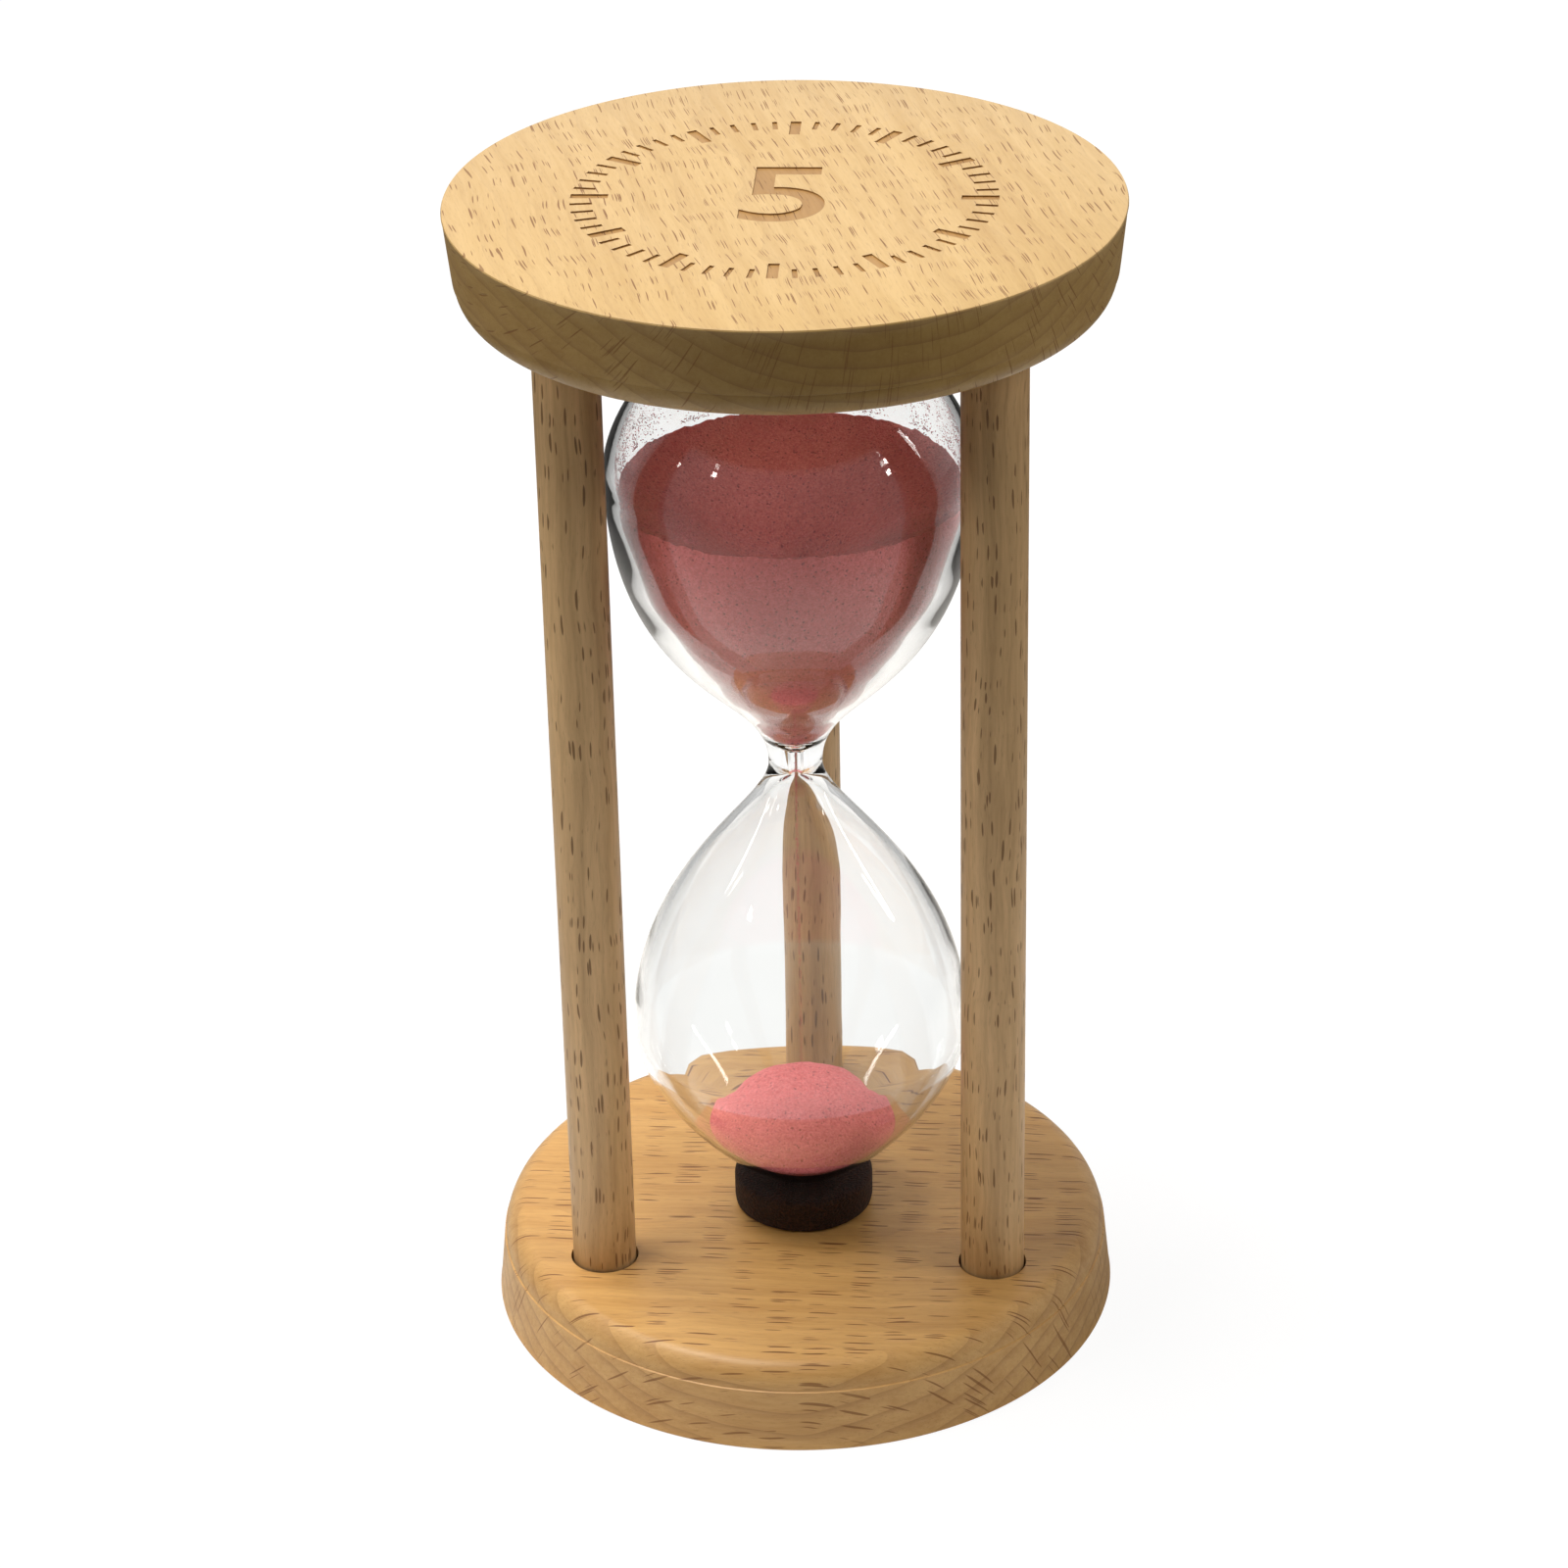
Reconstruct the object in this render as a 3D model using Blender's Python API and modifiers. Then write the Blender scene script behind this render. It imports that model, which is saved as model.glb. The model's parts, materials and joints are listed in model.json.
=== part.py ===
"""Hourglass with a turned beech frame.

Two turned discs are held apart by three dowels. A blown glass vessel of two bulbs stands between
them on foam pads. It was filled with sand through a hole in its upper end, which a stopper closes.
Metres, +Z up, origin at the centre of the face that the hourglass stands on.
"""
import math
from collections import namedtuple

import bpy
from mathutils import Vector
from mathutils.geometry import interpolate_bezier

# The whole object
HEIGHT = 0.150
DISC_RADIUS = 0.040
DISC_THICKNESS = 0.0115
GAP = 0.0003  # left between pieces that touch

# Edge of a disc: a sharp outer rim, a tapered side, and a round-over into the inner face
RIM_CHAMFER = 0.0003
SIDE_TAPER = 0.0009
ROUND_WIDTH = 0.0029
ROUND_HEIGHT = 0.0033

# Dowels and the blind sockets that they are glued into
DOWEL_RADIUS = 0.0040
DOWEL_RING = 0.0286
DOWEL_CHAMFER = 0.0004
SOCKET_DEPTH = 0.008
DOWEL_ANGLES = {"dowel_front_left": -150, "dowel_front_right": -30, "dowel_back": 90}

# Foam pads between the discs and the glass
PAD_RADIUS = 0.0090
PAD_THICKNESS = 0.0042
PAD_DIMPLE = 0.0009  # how far the end of the glass sinks into the pad
PAD_CHAMFER = 0.0004

# Glass vessel, with heights measured from the neck
NECK_HEIGHT = 0.0758
WALL = 0.0017
NECK_RADIUS = 0.0034
BORE_RADIUS = 0.0006
BORE_HALF_LENGTH = 0.0020
FUNNEL_RADIUS = 0.0020
FUNNEL_DROP = 0.0018  # how much thicker the wall is in the funnel than at the widest ring
FILL_HOLE_RADIUS = 0.0032
STOPPER_DEPTH = WALL + 0.0010
PAD_REACH = DISC_THICKNESS + GAP + PAD_THICKNESS - PAD_DIMPLE

# Each bulb's section is two curves, neck to widest ring and widest ring to end. The handles shape
# them: neck, shoulder, cheek and funnel are heights from the neck, and crown is a radius.
Bulb = namedtuple("Bulb", "radius widest end tip neck shoulder cheek crown funnel")
UPPER_BULB = Bulb(
    radius=0.0225,
    widest=0.0398,
    end=HEIGHT - NECK_HEIGHT - PAD_REACH,
    tip=FILL_HOLE_RADIUS,
    neck=0.0112,
    shoulder=0.0118,
    cheek=0.0481,
    crown=0.0109,
    funnel=0.0088,
)
LOWER_BULB = Bulb(
    radius=0.0213,
    widest=0.0375,
    end=NECK_HEIGHT - PAD_REACH,
    tip=0.0,
    neck=0.0064,
    shoulder=0.0169,
    cheek=0.0453,
    crown=0.0075,
    funnel=0.0055,
)

# Sand
SAND_TIP = 0.0030  # lowest point of the upper sand, above the neck
SAND_LEVEL = 0.0385  # rim of the upper sand, above the neck
CRATER_DEPTH = 0.0060
HEAP_RADIUS = 0.0124
HEAP_HEIGHT = 0.0048
STREAM_RADIUS = 0.0003

# Fineness of the meshes
DISC_STEPS = 72
GLASS_STEPS = 48
SAND_STEPS = 40
CONE_POINTS = 12
DOME_POINTS = 9
ROUND_POINTS = 5
MERGE = 0.00001


def clear_scene():
    for old in list(bpy.data.objects):
        bpy.data.objects.remove(old, do_unlink=True)


def new_collection(name):
    collection = bpy.data.collections.new(name)
    bpy.context.scene.collection.children.link(collection)
    return collection


def finish_material(name, colour, roughness, transmission=0.0):
    material = bpy.data.materials.new(name)
    material.use_nodes = True
    shader = material.node_tree.nodes["Principled BSDF"]
    shader.inputs["Base Color"].default_value = (*colour, 1.0)
    shader.inputs["Roughness"].default_value = roughness
    shader.inputs["Metallic"].default_value = 0.0
    shader.inputs["Transmission Weight"].default_value = transmission
    return material


def turned(name, outline, steps, material, collection):
    """A solid of revolution about Z. The outline of (radius, z) points runs down the outer side."""
    mesh = bpy.data.meshes.new(name)
    edges = [(i, i + 1) for i in range(len(outline) - 1)]
    mesh.from_pydata([(radius, 0, z) for radius, z in outline], edges, [])
    mesh.materials.append(material)
    piece = bpy.data.objects.new(name, mesh)
    collection.objects.link(piece)
    screw = piece.modifiers.new("Turned", "SCREW")
    screw.steps = screw.render_steps = steps
    screw.use_merge_vertices = True
    screw.merge_threshold = MERGE
    screw.use_smooth_shade = True
    return piece


def cylinder(name, radius, low, high, sides, material, collection):
    """A cylinder along Z between two heights, with its origin halfway up."""
    bpy.ops.mesh.primitive_cylinder_add(
        vertices=sides, radius=radius, depth=high - low, location=(0, 0, (low + high) / 2)
    )
    piece = bpy.context.object
    piece.name = piece.data.name = name
    piece.data.materials.append(material)
    for user in list(piece.users_collection):
        user.objects.unlink(piece)
    collection.objects.link(piece)
    piece.data.shade_smooth()
    piece.data.set_sharp_from_angle(angle=math.radians(30))
    return piece


def chamfer(piece, width):
    bevel = piece.modifiers.new("Chamfer", "BEVEL")
    bevel.width = width
    bevel.segments = 1
    bevel.limit_method = "ANGLE"
    bevel.angle_limit = math.radians(40)


def on_dowel_ring(piece, degrees):
    angle = math.radians(degrees)
    piece.location.x = DOWEL_RING * math.cos(angle)
    piece.location.y = DOWEL_RING * math.sin(angle)


def arc(centre, width, height, start, end, count):
    """Points on an ellipse's arc between two angles in degrees."""
    angles = [math.radians(start + (end - start) * i / count) for i in range(count + 1)]
    return [(centre[0] + width * math.cos(a), centre[1] + height * math.sin(a)) for a in angles]


def disc_outline():
    """From the centre of the inner face, over the rounded edge, down to the outer face."""
    side = DISC_RADIUS - SIDE_TAPER
    centre = (side - ROUND_WIDTH, DISC_THICKNESS - ROUND_HEIGHT)
    edge = arc(centre, ROUND_WIDTH, ROUND_HEIGHT, 90, 0, ROUND_POINTS)
    rim = [(DISC_RADIUS, RIM_CHAMFER), (DISC_RADIUS - RIM_CHAMFER, 0)]
    return [(0, DISC_THICKNESS)] + edge + rim + [(0, 0)]


def make_disc(name, material, collection, cutters):
    """A turned disc with a blind socket for each dowel. Its outer face lies at local z = 0."""
    disc = turned(name, disc_outline(), DISC_STEPS, material, collection)
    for cutter in cutters:
        socket = disc.modifiers.new("Socket", "BOOLEAN")
        socket.operation = "DIFFERENCE"
        socket.solver = "EXACT"
        socket.object = cutter
    return disc


def make_socket_cutters(material, collection):
    """One long cylinder for each dowel cuts the sockets in both discs."""
    floor = DISC_THICKNESS - SOCKET_DEPTH
    cutters = []
    for name, degrees in DOWEL_ANGLES.items():
        cutter = cylinder(
            name + "_socket", DOWEL_RADIUS + GAP, floor, HEIGHT - floor, 36, material, collection
        )
        on_dowel_ring(cutter, degrees)
        cutter.hide_render = True
        cutter.display_type = "WIRE"
        cutters.append(cutter)
    return cutters


def make_dowels(material, collection):
    floor = DISC_THICKNESS - SOCKET_DEPTH + GAP
    for name, degrees in DOWEL_ANGLES.items():
        dowel = cylinder(name, DOWEL_RADIUS, floor, HEIGHT - floor, 32, material, collection)
        on_dowel_ring(dowel, degrees)
        chamfer(dowel, DOWEL_CHAMFER)


def bezier(start, start_handle, end_handle, end, count):
    corners = [Vector(point) for point in (start, start_handle, end_handle, end)]
    return [(point.x, point.y) for point in interpolate_bezier(*corners, count)]


def outer_outline(bulb):
    """Outside of one bulb's section: (radius, height from the neck), from the neck to its end."""
    ring = (bulb.radius, bulb.widest)
    neck, neck_handle = (NECK_RADIUS, 0), (NECK_RADIUS, bulb.neck)
    cone = bezier(neck, neck_handle, (bulb.radius, bulb.shoulder), ring, CONE_POINTS)
    cheek, crown = (bulb.radius, bulb.cheek), (bulb.crown, bulb.end)
    dome = bezier(ring, cheek, crown, (bulb.tip, bulb.end), DOME_POINTS)
    return cone + dome[1:]


def inner_outline(bulb):
    """Inside of one bulb's section, from the end of the bore to the end of the bulb."""
    radius, end = bulb.radius - WALL, bulb.end - WALL
    ring = (radius, bulb.widest)
    bore, funnel = (BORE_RADIUS, BORE_HALF_LENGTH), (FUNNEL_RADIUS, bulb.funnel)
    cone = bezier(bore, funnel, (radius, bulb.shoulder + FUNNEL_DROP), ring, CONE_POINTS)
    cheek, crown = (radius, bulb.cheek), (bulb.crown, end)
    dome = bezier(ring, cheek, crown, (bulb.tip, end), DOME_POINTS)
    return cone + dome[1:]


def inset(outline, distance):
    """A bulb outline moved towards the inside of the bulb, or outwards where distance is negative."""
    moved = []
    for i, (radius, height) in enumerate(outline):
        before = Vector(outline[max(i - 1, 0)])
        after = Vector(outline[min(i + 1, len(outline) - 1)])
        tangent = (after - before).normalized()
        if radius < MERGE:
            tangent = Vector((-1, 0))
        moved.append((radius - distance * tangent.y, height + distance * tangent.x))
    return moved


def stretch(outline, axis, low, high):
    """The part of an outline whose radius (axis 0) or height (axis 1) lies between two limits."""
    found = []
    for start, end in zip(outline, outline[1:]):
        for limit in sorted((low, high), reverse=end[axis] < start[axis]):
            if min(start[axis], end[axis]) < limit < max(start[axis], end[axis]):
                share = (limit - start[axis]) / (end[axis] - start[axis])
                found.append(tuple(a + share * (b - a) for a, b in zip(start, end)))
        if low <= end[axis] <= high:
            found.append(end)
    return found


def upside_down(outline):
    """The same outline below the neck instead of above it."""
    return [(radius, -height) for radius, height in outline]


def make_glass(material, collection):
    """One blown vessel: closed at its lower end, with the fill hole in its upper end."""
    inside = upside_down(inner_outline(LOWER_BULB))[::-1] + inner_outline(UPPER_BULB)
    outside = outer_outline(UPPER_BULB)[::-1] + upside_down(outer_outline(LOWER_BULB))[1:]
    return turned("glass_vessel", inside + outside, GLASS_STEPS, material, collection)


def make_stopper(material, collection):
    radius, top = FILL_HOLE_RADIUS - GAP, UPPER_BULB.end
    stopper = cylinder("fill_stopper", radius, top - STOPPER_DEPTH, top, 24, material, collection)
    chamfer(stopper, GAP)
    return stopper


def make_upper_sand(material, collection):
    """Sand that fills the funnel up to its level, with a crater where it has run down."""
    cone = inset(inner_outline(UPPER_BULB), GAP)[:CONE_POINTS]
    wall = stretch(cone, 1, SAND_TIP, SAND_LEVEL)
    rim_radius, rim_height = wall[-1]
    crater = [
        (0, rim_height - CRATER_DEPTH),
        (0.4 * rim_radius, rim_height - 0.6 * CRATER_DEPTH),
    ]
    outline = crater + wall[::-1] + [(0, SAND_TIP)]
    return turned("upper_sand", outline, SAND_STEPS, material, collection)


def make_lower_sand(material, collection):
    """The heap in the lower bulb, and the height of its peak."""
    dome = inset(inner_outline(LOWER_BULB), GAP)[CONE_POINTS:]
    bowl = stretch(dome, 0, 0, HEAP_RADIUS)
    rim_radius, rim_drop = bowl[0]
    peak = HEAP_HEIGHT - rim_drop
    slope = [(0, peak), (0.5 * rim_radius, peak - 0.4 * HEAP_HEIGHT)]
    outline = slope + upside_down(bowl)
    return turned("lower_sand", outline, SAND_STEPS, material, collection), peak


def make_pad(name, bulb, neck_height, material, collection):
    """A foam disc with a dimple that fits the end of a bulb. It lies on local z = 0."""
    seat = [(radius, neck_height - z) for radius, z in inset(outer_outline(bulb), -GAP)]
    dimple = [(radius, z) for radius, z in seat if z < PAD_THICKNESS]
    centre = [(0, dimple[-1][1])] if dimple[-1][0] > 0 else []
    edge = [
        (PAD_RADIUS - PAD_CHAMFER, PAD_THICKNESS),
        (PAD_RADIUS, PAD_THICKNESS - PAD_CHAMFER),
        (PAD_RADIUS, 0),
        (0, 0),
    ]
    return turned(name, centre + dimple[::-1] + edge, SAND_STEPS, material, collection)


def turn_over(piece, height):
    """Turned about Y to face down, with its flat face at the given height."""
    piece.rotation_euler = (0, math.pi, 0)
    piece.location.z = height


def build_frame(parts, cutters):
    beech = finish_material("beech", (0.60, 0.37, 0.16), 0.55)
    dowel_beech = finish_material("dowel_beech", (0.45, 0.31, 0.16), 0.55)
    foam = finish_material("foam", (0.020, 0.011, 0.007), 0.95)
    sockets = make_socket_cutters(beech, cutters)
    make_disc("base_disc", beech, parts, sockets)
    turn_over(make_disc("top_disc", beech, parts, sockets), HEIGHT)
    make_dowels(dowel_beech, parts)
    floor, ceiling = DISC_THICKNESS + GAP, HEIGHT - DISC_THICKNESS - GAP
    lower_pad = make_pad("lower_pad", LOWER_BULB, NECK_HEIGHT - floor, foam, parts)
    lower_pad.location.z = floor
    upper_pad = make_pad("upper_pad", UPPER_BULB, ceiling - NECK_HEIGHT, foam, parts)
    turn_over(upper_pad, ceiling)


def build_vessel(parts):
    """Everything that turns with the glass hangs from an empty at the neck, on the joint's axis."""
    glass = finish_material("glass", (0.95, 0.97, 0.96), 0.02, transmission=1.0)
    rubber = finish_material("rubber", (0.55, 0.55, 0.52), 0.6)
    pink = finish_material("pink_sand", (0.75, 0.20, 0.21), 0.8)
    lower_sand, peak = make_lower_sand(pink, parts)
    vessel = [
        make_glass(glass, parts),
        make_stopper(rubber, parts),
        make_upper_sand(pink, parts),
        lower_sand,
        cylinder("sand_stream", STREAM_RADIUS, peak + GAP, SAND_TIP - GAP, 12, pink, parts),
    ]
    axis = bpy.data.objects.new("vessel_axis", None)
    axis.location.z = NECK_HEIGHT
    parts.objects.link(axis)
    for piece in vessel:
        piece.parent = axis


clear_scene()
hourglass = new_collection("hourglass")
socket_cutters = new_collection("cutters")
build_frame(hourglass, socket_cutters)
build_vessel(hourglass)
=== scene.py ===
"""Looks of a small hourglass: a turned beech frame round a blown glass vessel with pink sand."""

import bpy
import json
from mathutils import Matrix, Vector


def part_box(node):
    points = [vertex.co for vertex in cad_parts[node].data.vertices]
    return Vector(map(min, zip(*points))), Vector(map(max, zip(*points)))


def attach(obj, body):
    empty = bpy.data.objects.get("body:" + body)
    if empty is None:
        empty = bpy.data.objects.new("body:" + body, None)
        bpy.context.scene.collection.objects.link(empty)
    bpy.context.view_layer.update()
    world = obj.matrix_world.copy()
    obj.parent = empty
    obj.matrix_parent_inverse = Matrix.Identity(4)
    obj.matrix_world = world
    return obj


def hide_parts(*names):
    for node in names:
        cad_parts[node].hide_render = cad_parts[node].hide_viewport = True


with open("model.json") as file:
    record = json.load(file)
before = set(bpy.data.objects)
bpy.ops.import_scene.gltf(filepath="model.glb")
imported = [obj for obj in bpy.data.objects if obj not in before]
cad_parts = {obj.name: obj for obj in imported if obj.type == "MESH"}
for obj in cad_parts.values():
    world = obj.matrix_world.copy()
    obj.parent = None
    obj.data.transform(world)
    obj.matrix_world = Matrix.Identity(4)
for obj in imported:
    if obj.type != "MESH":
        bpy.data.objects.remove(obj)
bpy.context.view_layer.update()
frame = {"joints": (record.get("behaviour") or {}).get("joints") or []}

import json
import math
import random

import bmesh
import bpy
from mathutils import Matrix, Vector, noise
from mathutils.geometry import interpolate_bezier

# ---------------------------------------------------------------------------------------------
# The hourglass stands on a white table in a white room. A ceiling panel gives most of the light,
# with a soft panel on each side, and small lamps and strips that leave streaks on the glass.
# A long lens looks down on it from the front.
scene = bpy.context.scene
scene.view_settings.view_transform = "Standard"


def node(tree, kind, inputs=None, **settings):
    """Adds a shader node; an input is given a value or the socket that feeds it."""
    made = tree.nodes.new("ShaderNode" + kind)
    for name, value in settings.items():
        setattr(made, name, value)
    for key, value in (inputs or {}).items():
        if isinstance(value, bpy.types.NodeSocket):
            tree.links.new(value, made.inputs[key])
        else:
            made.inputs[key].default_value = value
    return made


def calc(tree, operation, a, b=0.0, clamp=False):
    made = node(tree, "Math", {0: a, 1: b}, operation=operation, use_clamp=clamp)
    return made.outputs[0]


def mix(tree, share, first, second, blend="MIX"):
    """Mixes two colours; a share of 0 gives the first one."""
    made = node(tree, "Mix", {0: share, 6: first, 7: second}, data_type="RGBA", blend_type=blend)
    return made.outputs[2]


def seen_straight(tree):
    """1 for a ray from the camera, also through glass, and 0 for light that falls on a piece."""
    path = node(tree, "LightPath")
    clear = calc(tree, "MAXIMUM", path.outputs["Is Camera Ray"], path.outputs["Is Transmission Ray"])
    first = calc(tree, "LESS_THAN", path.outputs["Diffuse Depth"], 0.5)
    turned_back = calc(tree, "GREATER_THAN", path.outputs["Glossy Depth"], 0.5)
    kept = calc(tree, "SUBTRACT", 1.0, calc(tree, "MULTIPLY", turned_back, 0.4))
    return calc(tree, "MULTIPLY", calc(tree, "MULTIPLY", clear, first), kept)


MIDDLE = (0, 0, 0.075)
PANEL_WHITE = (1.0, 0.975, 0.94)
LAMP_WHITE = (1.0, 0.97, 0.92)


def build_table():
    shape = bmesh.new()
    bmesh.ops.create_grid(shape, x_segments=1, y_segments=1, size=6.0)
    mesh = bpy.data.meshes.new("floor")
    shape.to_mesh(mesh)
    shape.free()
    table = bpy.data.objects.new("floor", mesh)
    scene.collection.objects.link(table)
    finish = bpy.data.materials.new("pale_table")
    finish.use_nodes = True
    tree = finish.node_tree
    tree.nodes.clear()
    straight = seen_straight(tree)
    place = node(tree, "TexCoord").outputs["Object"]
    far = node(tree, "VectorMath", {0: place}, operation="LENGTH").outputs["Value"]
    near = calc(tree, "SUBTRACT", 1.5, calc(tree, "MULTIPLY", far, 6.5), clamp=True)
    paper = mix(tree, near, (0.10, 0.10, 0.10, 1), (0.90, 0.88, 0.85, 1))
    lit = node(tree, "BsdfDiffuse", {"Color": paper})
    glow = node(tree, "Emission", {"Color": (1.0, 0.998, 0.995, 1), "Strength": 0.93})
    soft = node(tree, "BsdfDiffuse", {"Color": (0.11, 0.11, 0.11, 1)})
    bright = node(tree, "AddShader", {0: glow.outputs[0], 1: soft.outputs[0]})
    either = node(tree, "MixShader", {0: straight, 1: lit.outputs[0], 2: bright.outputs[0]})
    node(tree, "OutputMaterial", {"Surface": either.outputs[0]})
    mesh.materials.append(finish)


def build_room():
    """White where it is looked at, and a dimmer room for the light that reaches the pieces."""
    room = bpy.data.worlds.new("room")
    room.use_nodes = True
    tree = room.node_tree
    tree.nodes.clear()
    straight = seen_straight(tree)
    _, back, up = node(tree, "SeparateXYZ", {0: node(tree, "TexCoord").outputs["Generated"]}).outputs
    overhead = calc(tree, "MULTIPLY", calc(tree, "MAXIMUM", up, 0.0), 0.25)
    behind = calc(tree, "MULTIPLY", calc(tree, "MAXIMUM", back, 0.0), 0.80)
    mirrored = node(tree, "LightPath").outputs["Is Glossy Ray"]
    walls = calc(tree, "ADD", calc(tree, "ADD", overhead, behind), 0.10)
    walls = calc(tree, "MULTIPLY", walls, mirrored)
    ambient = calc(tree, "ADD", calc(tree, "ADD", walls, calc(tree, "MULTIPLY", behind, 0.2)), 0.035)
    strength = calc(tree, "MAXIMUM", ambient, straight)
    glow = node(tree, "Background", {"Color": (1.0, 0.985, 0.96, 1), "Strength": strength})
    node(tree, "OutputWorld", {"Surface": glow.outputs[0]})
    scene.world = room


def hang_lamp(name, place, width, height, power, colour, mirrored=True):
    """Hangs a panel that points at the middle of the hourglass; mirrored ones show on the glass."""
    lamp = bpy.data.lights.new(name, "AREA")
    lamp.shape = "RECTANGLE"
    lamp.size, lamp.size_y = width, height
    lamp.energy = power
    lamp.color = colour
    holder = bpy.data.objects.new(name, lamp)
    scene.collection.objects.link(holder)
    holder.visible_glossy = holder.visible_transmission = mirrored
    holder.location = place
    holder.rotation_euler = (Vector(MIDDLE) - Vector(place)).to_track_quat("-Z", "X").to_euler()


def set_camera(place, yaw, pitch, roll, lens):
    """Yaw turns left from +Y, pitch looks down and roll leans to the right, all in degrees."""
    yaw, pitch, roll = math.radians(yaw), math.radians(pitch), math.radians(roll)
    ahead = Vector((-math.sin(yaw) * math.cos(pitch), math.cos(yaw) * math.cos(pitch), -math.sin(pitch)))
    right = ahead.cross(Vector((0, 0, 1))).normalized()
    up = right.cross(ahead)
    leaning_up = up * math.cos(roll) + right * math.sin(roll)
    leaning_right = right * math.cos(roll) - up * math.sin(roll)
    view = bpy.data.cameras.new("camera")
    view.lens = lens
    view.sensor_width = 36
    view.clip_start, view.clip_end = 0.01, 100
    camera = bpy.data.objects.new("camera", view)
    scene.collection.objects.link(camera)
    turn = Matrix((leaning_right, leaning_up, -ahead)).transposed()
    camera.matrix_world = Matrix.Translation(place) @ turn.to_4x4()
    scene.camera = camera


build_table()
build_room()
hang_lamp("ceiling_panel", (-0.23, 0.05, 1.045), 0.42, 0.42, 11.4, (1.0, 0.975, 0.93))
hang_lamp("right_wall", (0.79, -0.19, 0.65), 0.45, 0.40, 2.4, PANEL_WHITE, mirrored=False)
hang_lamp("left_wall", (-0.72, -0.40, 0.62), 0.40, 0.40, 1.8, PANEL_WHITE, mirrored=False)
hang_lamp("strip_right", (0.92, 0.15, 0.45), 0.30, 0.04, 0.6, PANEL_WHITE)
hang_lamp("strip_left", (-0.89, -0.08, 0.53), 0.30, 0.04, 0.6, PANEL_WHITE)
hang_lamp("lamp_left", (-0.78, -0.63, 0.73), 0.06, 0.06, 0.35, LAMP_WHITE)
hang_lamp("lamp_far_left", (-1.06, -0.19, 0.61), 0.05, 0.12, 0.35, LAMP_WHITE)
hang_lamp("lamp_right", (1.00, -0.27, 0.72), 0.055, 0.055, 0.35, LAMP_WHITE)
hang_lamp("lamp_right_low", (1.00, -0.32, 0.60), 0.060, 0.060, 0.40, LAMP_WHITE)
set_camera((0.0325, -0.5078, 0.3469), yaw=3.83, pitch=28.34, roll=1.21, lens=106.9)

# ---------------------------------------------------------------------------------------------
# The base is a disc of flat-sawn beech, turned with a rounded upper edge and a slightly tapered
# side. Its grain runs from left to right, with short ray flecks on the face and ray lines in the
# end grain, under a thin satin lacquer. The dowels are glued into its three blind sockets.
DISC_SIDE, DISC_FOOT, DISC_RIM = 0.0391, 0.0399, 0.03998
ROUND_WIDTH, ROUND_HEIGHT = 0.0029, 0.0033
LEDGE = 0.00018
SOCKET = 0.0043
WEAR_AND_HIGHLIGHT_WIDTH = 0.0006


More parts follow.
